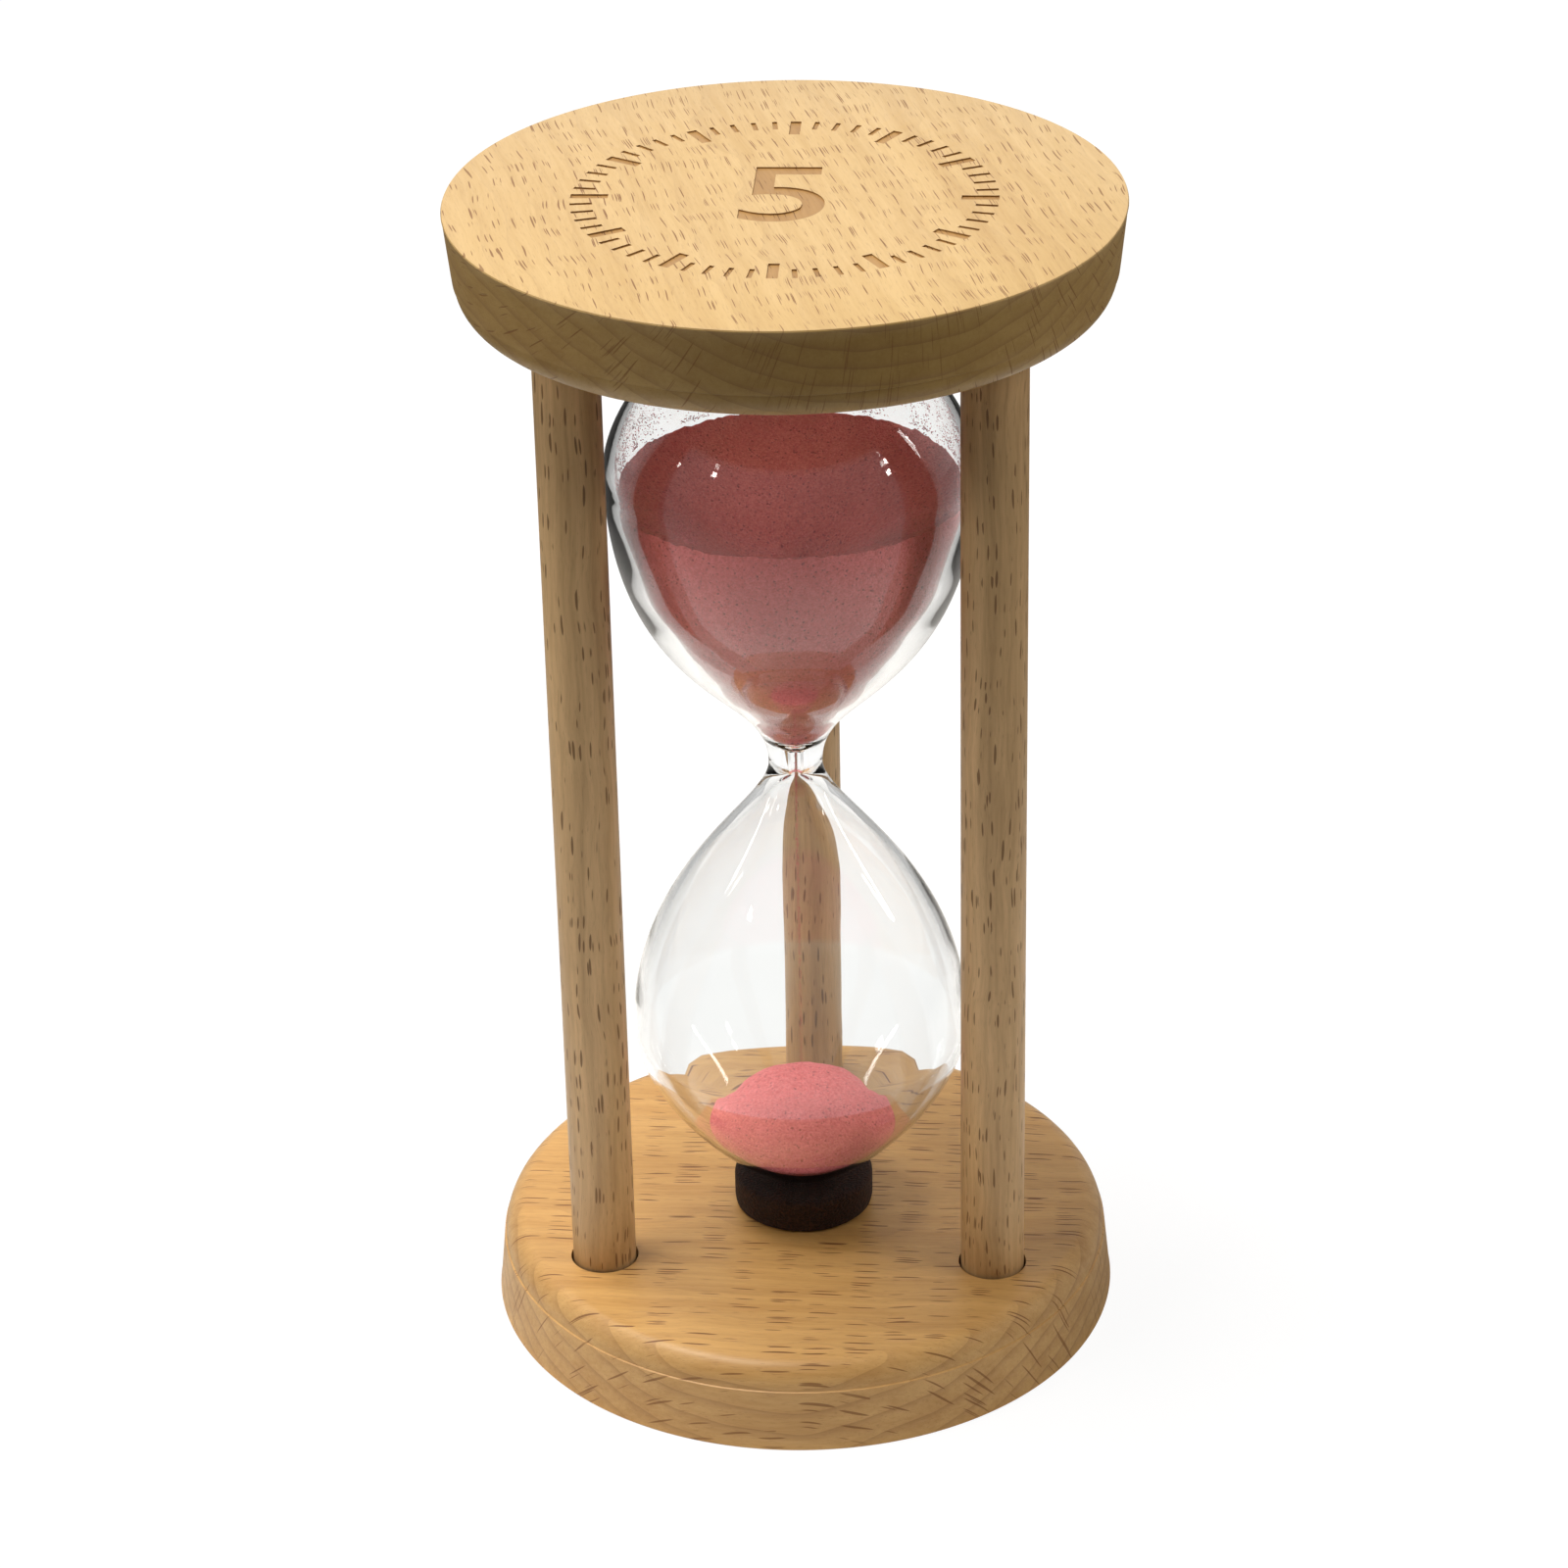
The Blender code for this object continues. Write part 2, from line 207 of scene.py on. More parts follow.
def beech_figure():
    """Figure of beech in metres: X runs along the grain, and the pith lies at Y = Z = 0."""
    tree = bpy.data.node_groups.new("beech figure", "ShaderNodeTree")
    face = tree.interface
    face.new_socket("Grain", in_out="INPUT", socket_type="NodeSocketVector")
    face.new_socket("End Grain And Side Shade", in_out="INPUT", socket_type="NodeSocketFloat")
    face.new_socket("Wear And Highlight", in_out="INPUT", socket_type="NodeSocketFloat")
    face.new_socket("Ray Spacing", in_out="INPUT", socket_type="NodeSocketVector")
    for name in ("Pale", "Brown", "Fleck", "End And Side Shade Tint"):
        face.new_socket(name, in_out="INPUT", socket_type="NodeSocketColor")
    face.new_socket("Color", in_out="OUTPUT", socket_type="NodeSocketColor")
    face.new_socket("Roughness", in_out="OUTPUT", socket_type="NodeSocketFloat")
    face.new_socket("Height", in_out="OUTPUT", socket_type="NodeSocketFloat")
    given = tree.nodes.new("NodeGroupInput").outputs
    put = tree.nodes.new("NodeGroupOutput").inputs

    # The grain wanders a little, so rings, rays and fibres all bend together.
    drift = node(tree, "TexNoise", {"Vector": given["Grain"], "Scale": 55.0, "Detail": 2.0})
    half = (0.5, 0.5, 0.5)
    centred = node(tree, "VectorMath", {0: drift.outputs["Color"], 1: half}, operation="SUBTRACT")
    bend = node(tree, "VectorMath", {0: centred.outputs[0], 1: (0, 0.0022, 0.0022)}, operation="MULTIPLY")
    bent = node(tree, "VectorMath", {0: given["Grain"], 1: bend.outputs[0]}, operation="ADD").outputs[0]
    along, across, up = node(tree, "SeparateXYZ", {0: bent}).outputs
    ring_plane = node(tree, "CombineXYZ", {1: across, 2: up})
    out = node(tree, "VectorMath", {0: ring_plane.outputs[0]}, operation="LENGTH").outputs["Value"]
    around = calc(tree, "MULTIPLY", calc(tree, "ARCTAN2", across, up), 0.07)

    # Rays are thin sheets that stand on the rings: dashes on a flat face, lines in end grain.
    sheet = node(tree, "CombineXYZ", {0: along, 1: out, 2: around})
    sheet = node(tree, "VectorMath", {0: sheet.outputs[0], 1: given["Ray Spacing"]}, operation="MULTIPLY")
    cells = node(tree, "TexVoronoi", {"Vector": sheet.outputs[0], "Scale": 1.0}, voronoi_dimensions="3D")
    seed = node(tree, "SeparateColor", {0: cells.outputs["Color"]}).outputs[0]
    reach = calc(tree, "MULTIPLY", calc(tree, "SUBTRACT", seed, 0.47), 0.95, clamp=True)
    ray = calc(tree, "MULTIPLY", calc(tree, "SUBTRACT", reach, cells.outputs["Distance"]), 12.0, clamp=True)

    # Growth rings end in a thin line of denser late wood.
    uneven = node(tree, "TexNoise", {"Vector": bent, "Scale": 85.0, "Detail": 1.0}).outputs["Fac"]
    years = calc(tree, "ADD", calc(tree, "MULTIPLY", out, 450.0), calc(tree, "MULTIPLY", uneven, 0.9))
    late = calc(tree, "POWER", calc(tree, "FRACT", years), 5.0)

    def streaks(scale, detail):
        run = node(tree, "VectorMath", {0: bent, 1: scale}, operation="MULTIPLY")
        made = node(tree, "TexNoise", {"Vector": run.outputs[0], "Scale": 1.0, "Detail": detail})
        return made.outputs["Fac"]

    fibres = streaks((95, 2300, 2300), 3.0)
    broad = streaks((14, 75, 75), 2.0)
    bands = streaks((9, 430, 430), 2.0)
    pinholes = streaks((520, 7500, 7500), 1.0)
    pores = calc(tree, "MULTIPLY", calc(tree, "SUBTRACT", pinholes, 0.58), 7.0, clamp=True)

    blend = calc(tree, "ADD", fibres, calc(tree, "MULTIPLY", broad, 1.2))
    blend = calc(tree, "ADD", blend, calc(tree, "MULTIPLY", bands, 1.3))
    blend = calc(tree, "SUBTRACT", blend, 1.30, clamp=True)
    wood = mix(tree, blend, given["Pale"], given["Brown"])
    # End grain, and through it the painted side shade, multiplies the colour by the end tint.
    tinted = mix(tree, given["End Grain And Side Shade"], wood, given["End And Side Shade Tint"], "MULTIPLY")
    deeper = calc(tree, "MULTIPLY", given["End Grain And Side Shade"], 0.42)
    ringed = mix(tree, calc(tree, "MULTIPLY", late, calc(tree, "ADD", 0.13, deeper)), tinted, given["Fleck"])
    weaker = calc(tree, "MULTIPLY", given["End Grain And Side Shade"], 0.35)
    strength = calc(tree, "MULTIPLY", ray, calc(tree, "SUBTRACT", 0.95, weaker))
    flecked = mix(tree, strength, ringed, given["Fleck"])
    pored = mix(tree, calc(tree, "MULTIPLY", pores, 0.22), flecked, given["Fleck"])
    # Lighter along the rim and the ridge: worn finish and a painted highlight.
    worn_and_highlit = mix(tree, calc(tree, "MULTIPLY", given["Wear And Highlight"], 0.5), pored, given["Pale"])
    tree.links.new(worn_and_highlit, put["Color"])

    rough = calc(tree, "ADD", 0.40, calc(tree, "MULTIPLY", fibres, 0.12))
    rough = calc(tree, "ADD", rough, calc(tree, "MULTIPLY", ray, 0.16))
    rough = calc(tree, "ADD", rough, calc(tree, "MULTIPLY", given["End Grain And Side Shade"], 0.12))
    tree.links.new(rough, put["Roughness"])
    relief = calc(tree, "SUBTRACT", calc(tree, "MULTIPLY", fibres, 0.5), calc(tree, "MULTIPLY", ray, 0.7))
    relief = calc(tree, "SUBTRACT", relief, calc(tree, "MULTIPLY", pores, 0.3))
    tree.links.new(relief, put["Height"])
    return tree


BEECH = beech_figure()


def beech(name, pale, brown, fleck, end_and_side_shade_tint, grain, turn, pith, rays=(200, 110, 3900), coat=0.0, side=0.0):
    """A beech finish. The turn brings the grain direction onto X; the pith is then moved to 0.

    The side value tints every face that looks sideways as if it were end grain: a painted shade on the
    turned edge, added to the darker end grain itself.
    """
    finish = bpy.data.materials.new(name)
    finish.use_nodes = True
    tree = finish.node_tree
    shader = tree.nodes["Principled BSDF"]
    place = node(tree, "TexCoord")
    laid = node(tree, "Mapping", {"Vector": place.outputs["Object"], "Rotation": turn, "Location": pith})
    facing = node(tree, "VectorMath", {0: place.outputs["Normal"], 1: grain}, operation="DOT_PRODUCT")
    end = calc(tree, "MULTIPLY", facing.outputs["Value"], facing.outputs["Value"])
    # Painted shade: faces that look sideways take the end tint as well, more the nearer their normal lies to
    # level.
    upright = node(tree, "SeparateXYZ", {0: place.outputs["Normal"]}).outputs[2]
    side_facing_shade = calc(tree, "SUBTRACT", 1.0, calc(tree, "MULTIPLY", upright, upright))
    end = calc(tree, "MAXIMUM", end, calc(tree, "MULTIPLY", side_facing_shade, side))
    wear_and_highlight = node(tree, "Attribute", attribute_name="wear_and_highlight").outputs["Fac"]
    figure = node(tree, "Group", {}, node_tree=BEECH)
    for key, value in (("Grain", laid.outputs[0]), ("End Grain And Side Shade", end), ("Wear And Highlight", wear_and_highlight)):
        tree.links.new(value, figure.inputs[key])
    for key, value in (("Pale", pale), ("Brown", brown), ("Fleck", fleck), ("End And Side Shade Tint", end_and_side_shade_tint)):
        figure.inputs[key].default_value = (*value, 1)
    figure.inputs["Ray Spacing"].default_value = rays
    relief = node(tree, "Bump", {"Height": figure.outputs["Height"], "Strength": 0.35, "Distance": 0.00008})
    tree.links.new(figure.outputs["Color"], shader.inputs["Base Color"])
    tree.links.new(figure.outputs["Roughness"], shader.inputs["Roughness"])
    tree.links.new(relief.outputs[0], shader.inputs["Normal"])
    shader.inputs["Coat Weight"].default_value = coat
    shader.inputs["Coat Roughness"].default_value = 0.35
    shader.inputs["IOR"].default_value = 1.48
    return finish


def finish_piece(name, shape, materials, crease=30):
    """Turns a bmesh into a named piece, smooth but for its sharp edges."""
    mesh = bpy.data.meshes.new(name)
    shape.to_mesh(mesh)
    shape.free()
    mesh.shade_smooth()
    mesh.set_sharp_from_angle(angle=math.radians(crease))
    for material in materials:
        mesh.materials.append(material)
    piece = bpy.data.objects.new(name, mesh)
    scene.collection.objects.link(piece)
    return piece


def turned(outline, steps):
    """Spins an outline of (radius, height) points about Z, and closes its poles."""
    shape = bmesh.new()
    points = [shape.verts.new((radius, 0, height)) for radius, height in outline]
    lines = [shape.edges.new(pair) for pair in zip(points, points[1:])]
    bmesh.ops.spin(
        shape, geom=points + lines, cent=(0, 0, 0), axis=(0, 0, 1), angle=math.tau, steps=steps,
        use_merge=True,
    )
    bmesh.ops.remove_doubles(shape, verts=shape.verts, dist=2e-6)
    bmesh.ops.recalc_face_normals(shape, faces=shape.faces)
    return shape


def cylinder(radius, low, high, sides):
    shape = bmesh.new()
    bmesh.ops.create_cone(
        shape, cap_ends=True, segments=sides, radius1=radius, radius2=radius, depth=high - low,
        matrix=Matrix.Translation((0, 0, (low + high) / 2)),
    )
    return shape


def cut(piece, tool, material_mode="INDEX"):
    """Cuts one piece with another as a finished shape, and takes the tool away."""
    carve = piece.modifiers.new("Cut", "BOOLEAN")
    carve.operation, carve.solver, carve.object = "DIFFERENCE", "EXACT", tool
    carve.material_mode = material_mode
    bpy.context.view_layer.update()
    whole = piece.evaluated_get(bpy.context.evaluated_depsgraph_get())
    mesh = bpy.data.meshes.new_from_object(whole)
    piece.modifiers.clear()
    piece.data = mesh
    mesh.shade_smooth()
    mesh.set_sharp_from_angle(angle=math.radians(30))
    bpy.data.objects.remove(tool)


def disc_outline(low, high):
    """Section of a disc, from the middle of the inner face (high) to that of the outer face (low)."""
    inward = 1 if high > low else -1
    centre_radius, centre_height = DISC_SIDE - LEDGE - ROUND_WIDTH, high - inward * ROUND_HEIGHT
    outline = [(0, high), (0.020, high)]
    for i in range(15):
        angle = math.radians(90 - 90 * i / 14)
        out, rise = ROUND_WIDTH * math.cos(angle), ROUND_HEIGHT * math.sin(angle)
        outline.append((centre_radius + out, centre_height + inward * rise))
    outline.append((DISC_SIDE, centre_height - inward * LEDGE * 0.6))
    for i in range(1, 7):
        share = i / 6
        height = centre_height + share * (low + inward * 0.0005 - centre_height)
        outline.append((DISC_SIDE + share * (DISC_FOOT - DISC_SIDE), height))
    outline += [(DISC_RIM, low + inward * 0.00025), (DISC_FOOT, low + inward * 0.00008)]
    outline += [(DISC_FOOT - 0.0002, low), (0.020, low), (0, low)]
    return outline


def mark_wear_and_highlight(piece, rings, width):
    """Marks the rim and the ridge, given as rings of (radius, height), for the finish to lighten: worn
    finish and a painted highlight where the edges catch light.
    """
    mesh = piece.data
    wear_and_highlight = mesh.attributes.new("wear_and_highlight", "FLOAT", "POINT")
    for i, point in enumerate(mesh.vertices):
        radius = math.hypot(point.co.x, point.co.y)
        near = min(math.hypot(radius - r, point.co.z - z) for r, z in rings)
        wear_and_highlight.data[i].value = max(0.0, 1 - near / width) * (0.45 + 0.55 * noise.noise(point.co * 260))


def dowel_places():
    """Centre of each dowel, read from its CAD node."""
    found = {}
    for name in ("dowel_front_left", "dowel_front_right", "dowel_back"):
        low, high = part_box(name)
        found[name] = ((low + high) / 2, low.z, high.z)
    return found


def socket_tool(material, near, far):
    """Three cylinders that cut the blind sockets between two heights."""
    joined = bmesh.new()
    for centre, _, _ in dowel_places().values():
        one = cylinder(SOCKET, near, far, 64)
        bmesh.ops.translate(one, verts=one.verts, vec=(centre.x, centre.y, 0))
        spare = bpy.data.meshes.new("socket")
        one.to_mesh(spare)
        one.free()
        joined.from_mesh(spare)
        bpy.data.meshes.remove(spare)
    return finish_piece("socket_tool", joined, [material])


base_low, base_high = (corner.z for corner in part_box("base_disc"))
# The end tint and side value grey and darken the turned edge: the end grain's own tint and a painted shade
# on the sides.
base_beech = beech(
    "base_beech", pale=(0.69, 0.400, 0.138), brown=(0.52, 0.268, 0.074), fleck=(0.19, 0.070, 0.018),
    end_and_side_shade_tint=(0.76, 0.82, 0.98), grain=(0.9994, -0.035, 0), turn=(0, 0, 0.035), pith=(0, -0.006, 0.062),
    coat=0.12, side=0.6,
)
base = finish_piece("base", turned(disc_outline(base_low, base_high), 256), [base_beech])
cut(base, socket_tool(base_beech, dowel_places()["dowel_back"][1] - 0.0003, base_high + 0.002))
mark_wear_and_highlight(base, [(DISC_FOOT, 0.0003), (DISC_SIDE, base_high - ROUND_HEIGHT)], WEAR_AND_HIGHLIGHT_WIDTH)
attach(base, "frame")
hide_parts("base_disc")

# ---------------------------------------------------------------------------------------------
# The top is the same disc turned over, cut from another board whose grain runs from back to
# front, and it is glued onto the dowels. A laser has burnt a ring of minute marks and a plain
# numeral into its upper face.
ENGRAVED = 0.00020
CUTTER_REACH = 0.001
RING_INNER, RING_OUTER = 0.0224, 0.0250
MARK_WIDTH = 0.00060
FIFTH_MARK_WIDTH, FIFTH_MARK_EXTRA = 0.00130, 0.0018
NUMERAL_SIZE = 0.0250
GRAIN_LEAN = math.radians(16)

top_low, top_high = (corner.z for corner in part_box("top_disc"))
top_grain = dict(
    grain=(math.sin(GRAIN_LEAN), -math.cos(GRAIN_LEAN), 0), turn=(0, 0, math.radians(90) - GRAIN_LEAN),
    pith=(0, -0.004, -0.190),
)
# The strong end tint darkens the turned edge: the darker end grain and a painted shade on the sides.
top_beech = beech(
    "top_beech", pale=(0.59, 0.400, 0.175), brown=(0.48, 0.300, 0.112), fleck=(0.20, 0.085, 0.024),
    end_and_side_shade_tint=(0.64, 0.57, 0.30), rays=(230, 130, 3600), coat=0.12, side=0.7, **top_grain,
)
burnt_beech = beech(
    "burnt_beech", pale=(0.40, 0.222, 0.070), brown=(0.30, 0.155, 0.046), fleck=(0.15, 0.066, 0.020),
    end_and_side_shade_tint=(0.75, 0.70, 0.65), **top_grain,
)


def engraving_tool(material):
    """Minute marks and a numeral as closed prisms that reach down into the upper face."""
    joined = bmesh.new()
    middle_height = top_high - ENGRAVED + CUTTER_REACH
    for minute in range(60):
        fifth = minute % 5 == 0
        inner = RING_INNER - (FIFTH_MARK_EXTRA if fifth else 0)
        width = FIFTH_MARK_WIDTH if fifth else MARK_WIDTH
        size = Matrix.Diagonal((RING_OUTER - inner, width, 2 * CUTTER_REACH, 1))
        lift = Matrix.Translation(((RING_OUTER + inner) / 2, 0, middle_height))
        turn = Matrix.Rotation(math.tau * minute / 60, 4, "Z")
        bmesh.ops.create_cube(joined, size=1, matrix=turn @ lift @ size)
    curve = bpy.data.curves.new("numeral", "FONT")
    curve.body = "5"
    curve.size = NUMERAL_SIZE
    curve.align_x, curve.align_y = "CENTER", "CENTER"
    curve.extrude = CUTTER_REACH
    curve.offset = 0.00010
    curve.resolution_u = 16
    drawn = bpy.data.objects.new("numeral", curve)
    scene.collection.objects.link(drawn)
    bpy.context.view_layer.update()
    numeral = bpy.data.meshes.new_from_object(drawn.evaluated_get(bpy.context.evaluated_depsgraph_get()))
    numeral.transform(Matrix.Translation((0, 0, middle_height)))
    joined.from_mesh(numeral)
    bpy.data.objects.remove(drawn)
    bmesh.ops.remove_doubles(joined, verts=joined.verts, dist=1e-6)
    bmesh.ops.recalc_face_normals(joined, faces=joined.faces)
    return finish_piece("engraving_tool", joined, [material])


top = finish_piece("top", turned(disc_outline(top_high, top_low), 256), [top_beech])
cut(top, socket_tool(top_beech, top_low - 0.002, dowel_places()["dowel_back"][2] + 0.0003))
cut(top, engraving_tool(burnt_beech), "TRANSFER")
mark_wear_and_highlight(top, [(DISC_FOOT, top_high - 0.0003), (DISC_SIDE, top_low + ROUND_HEIGHT)], WEAR_AND_HIGHLIGHT_WIDTH)
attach(top, "frame")
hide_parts("top_disc")

# ---------------------------------------------------------------------------------------------
# Three beech dowels, cut from stock rod and glued into the sockets. Their grain runs upwards,
# with fine dark pores and flecks, and they have had less lacquer than the discs.
ROD_RADIUS, ROD_EDGE = 0.0040, 0.0004

dowel_beech = beech(
    "dowel_beech", pale=(0.72, 0.475, 0.235), brown=(0.43, 0.262, 0.115), fleck=(0.23, 0.125, 0.052),
    end_and_side_shade_tint=(0.75, 0.70, 0.66), grain=(0, 0, 1), turn=(0, math.radians(90), 0), pith=(0, 0.012, 0.085),
    rays=(300, 2600, 3300), coat=0.05,
)
for name, (centre, low, high) in dowel_places().items():
    rod = cylinder(ROD_RADIUS, low, high, 72)
    ends = [edge for edge in rod.edges if abs(edge.verts[0].co.z - edge.verts[1].co.z) < 1e-6]
    bmesh.ops.bevel(rod, geom=ends, offset=ROD_EDGE, affect="EDGES", segments=3, profile=0.5, material=-1)
    bmesh.ops.translate(rod, verts=rod.verts, vec=(centre.x, centre.y, 0))
    dowel = finish_piece(name.replace("dowel", "rod"), rod, [dowel_beech], 40)
    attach(dowel, "frame")
    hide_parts(name)

# ---------------------------------------------------------------------------------------------
# The glass vessel is one blown piece: two bulbs with a thick, narrow neck between them. The
# walls thicken towards the neck, and the outside is a little wavy from the flame. It is held
# between two pads and can be turned in them.
NECK_HEIGHT = frame["joints"][0]["pos_m"][2]
WALL = 0.0010
BORE_RADIUS = 0.0006
WAVE = 0.00008
upper_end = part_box("glass_vessel")[1].z - NECK_HEIGHT
lower_end = NECK_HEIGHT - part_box("glass_vessel")[0].z


def curve_through(corners, count):
    corners = [Vector(point) for point in corners]
    return [(point.x, point.y) for point in interpolate_bezier(*corners, count)]


def upper_outside():
    """Radius and height from the neck of the upper bulb's outside, from the neck to its end."""
    cone = curve_through([(0.0034, 0), (0.0034, 0.0112), (0.0225, 0.0118), (0.0225, 0.0398)], 60)
    dome = curve_through([(0.0225, 0.0398), (0.0225, 0.0481), (0.0109, upper_end), (0.0032, upper_end)], 40)
    return cone + dome[1:]


def lower_outside():
    cone = curve_through([(0.0034, 0), (0.0034, 0.0064), (0.0213, 0.0169), (0.0213, 0.0375)], 60)
    dome = curve_through([(0.0213, 0.0375), (0.0213, 0.0453), (0.0075, lower_end), (0, lower_end)], 40)
    return cone + dome[1:]


def smooth_line(points, count):
    """A smooth curve through the given points, with count steps between each two."""
    line = [points[0]]
    for i in range(len(points) - 1):
        before, start = Vector(points[max(i - 1, 0)]), Vector(points[i])
        end, after = Vector(points[i + 1]), Vector(points[min(i + 2, len(points) - 1)])
        line += curve_through([start, start + (end - before) / 6, end - (after - start) / 6, end], count)[1:]
    return line


def upper_inside():
    """The bore opens into a small round cup, and the cup into the wide funnel."""
    funnel = smooth_line(
        [
            (BORE_RADIUS, 0.0020), (0.00072, 0.0026), (0.0017, 0.0031), (0.0029, 0.0040), (0.0037, 0.0052),
            (0.0044, 0.0066), (0.0055, 0.0083), (0.0075, 0.0104), (0.0099, 0.0128), (0.0124, 0.0156),
            (0.0148, 0.0187), (0.0169, 0.0221), (0.0188, 0.0262), (0.0202, 0.0310), (0.0210, 0.0354),
            (0.0213, 0.0398),
        ],
        5,
    )
    end = upper_end - WALL
    dome = curve_through([(0.0213, 0.0398), (0.0213, 0.0481), (0.0109, end), (0.0032, end)], 40)
    return funnel + dome[1:]


def lower_inside():
    """The bore ends in a small dome that runs straight into the bulb."""
    start = smooth_line(
        [
            (BORE_RADIUS, 0.0014), (0.0010, 0.0017), (0.0020, 0.0025), (0.0030, 0.0037), (0.0041, 0.0052),
            (0.0056, 0.0070), (0.0080, 0.0097), (0.0108, 0.0129), (0.0135, 0.0165), (0.0160, 0.0207),
            (0.0181, 0.0254), (0.0197, 0.0310), (0.0204, 0.0375),
        ],
        5,
    )
    end = lower_end - WALL
    dome = curve_through([(0.0204, 0.0375), (0.0204, 0.0453), (0.0075, end), (0, end)], 40)
    return start + dome[1:]


def above_neck(outline):
    return [(radius, NECK_HEIGHT + height) for radius, height in outline]


def below_neck(outline):
    return [(radius, NECK_HEIGHT - height) for radius, height in outline]


def clear_glass():
    """Clear soda glass with a faint smear; light from the lamps passes, so the sand inside is lit."""
    finish = bpy.data.materials.new("clear_glass")
    finish.use_nodes = True
    tree = finish.node_tree
    shader = tree.nodes["Principled BSDF"]
    shader.inputs["Transmission Weight"].default_value = 1.0
    shader.inputs["IOR"].default_value = 1.46
    place = node(tree, "TexCoord").outputs["Object"]
    patches = node(tree, "TexNoise", {"Vector": place, "Scale": 160.0, "Detail": 5.0, "Roughness": 0.7})
    film = patches.outputs["Fac"]
    smear = calc(tree, "MULTIPLY", calc(tree, "SUBTRACT", film, 0.52), 0.10, clamp=True)
    tree.links.new(smear, shader.inputs["Roughness"])
    tint = mix(tree, film, (0.985, 0.992, 0.988, 1), (0.955, 0.962, 0.958, 1))
    tree.links.new(tint, shader.inputs["Base Color"])
    lamp_ray = node(tree, "LightPath").outputs["Is Shadow Ray"]
    passing = node(tree, "BsdfTransparent", {"Color": (0.98, 0.98, 0.98, 1)})
    either = node(tree, "MixShader", {0: lamp_ray, 1: shader.outputs[0], 2: passing.outputs[0]})
    tree.links.new(either.outputs[0], tree.nodes["Material Output"].inputs["Surface"])
    return finish


def wall_radius(outline, height):
    """Radius of an outline at a height from the neck."""
    for (r0, h0), (r1, h1) in zip(outline, outline[1:]):
        if h0 <= height <= h1:
            return r0 + (r1 - r0) * (height - h0) / max(h1 - h0, 1e-9)
    return outline[0][0]


upper_outside_line, lower_outside_line = upper_outside(), lower_outside()
wall_section = below_neck(lower_inside())[::-1] + above_neck(upper_inside())
wall_section += above_neck(upper_outside_line)[::-1] + below_neck(lower_outside_line)[1:]
blown = turned(wall_section, 192)
for point in blown.verts:
    radius, height = math.hypot(point.co.x, point.co.y), point.co.z - NECK_HEIGHT
    outline = upper_outside_line if height > 0 else lower_outside_line
    outer = radius > wall_radius(outline, abs(height)) - 0.0003
    if outer and 0.018 < point.co.z < 0.133:
        fade = min(1.0, abs(height) / 0.012)
        ripple = noise.noise(Vector((point.co.x * 70, point.co.y * 70, point.co.z * 38)))
        wave = WAVE * fade * ripple
        point.co.xy *= 1 + (wave - 0.00006) / radius
glass = finish_piece("glass", blown, [clear_glass()], 50)
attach(glass, "vessel")
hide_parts("glass_vessel")

# ---------------------------------------------------------------------------------------------
# The fill hole in the upper end is closed with a short plug of pale rubber, pushed in after the
# sand was poured and hidden by the upper pad.


def pale_rubber():
    finish = bpy.data.materials.new("pale_rubber")
    finish.use_nodes = True
    tree = finish.node_tree
    shader = tree.nodes["Principled BSDF"]
    place = node(tree, "TexCoord").outputs["Object"]
    mottle = node(tree, "TexNoise", {"Vector": place, "Scale": 900.0, "Detail": 4.0}).outputs["Fac"]
    colour = mix(tree, mottle, (0.62, 0.60, 0.55, 1), (0.46, 0.44, 0.40, 1))
    tree.links.new(colour, shader.inputs["Base Color"])
    rough = calc(tree, "ADD", 0.5, calc(tree, "MULTIPLY", mottle, 0.25))
    tree.links.new(rough, shader.inputs["Roughness"])
    relief = node(tree, "Bump", {"Height": mottle, "Strength": 0.3, "Distance": 0.00005})
    tree.links.new(relief.outputs[0], shader.inputs["Normal"])
    return finish


plug_low, plug_high = (corner.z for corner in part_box("fill_stopper"))
plug_shape = turned(
    [
        (0, plug_low), (0.0020, plug_low), (0.0024, plug_low + 0.0003), (0.00285, plug_low + 0.0012),
        (0.0029, plug_high - 0.0003), (0.0027, plug_high - 0.00005), (0.0012, plug_high - 0.0001),
        (0, plug_high),
    ],
    64,
)
plug = finish_piece("plug", plug_shape, [pale_rubber()], 40)
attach(plug, "vessel")
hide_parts("fill_stopper")

# ---------------------------------------------------------------------------------------------
# The sand is fine dyed quartz, part of the way through a run, and it lies loose. The upper part
# fills the funnel round a crater. Its faces against the glass get a lighter copy of the sand colour,
# painted light, and the crater's upward faces get a darker copy, painted shade. Stray grains cling
# to the glass above it.
SAND_CLEAR = 0.00004
SAND_LEVEL = 0.0385
CRATER_DEPTH, CRATER_FLOOR, CRATER_CUP = 0.0125, 0.0020, 0.0004
FUNNEL_BOTTOM = 0.0027
CLINGING_GRAINS, CLINGING_REACH = 7000, 0.018


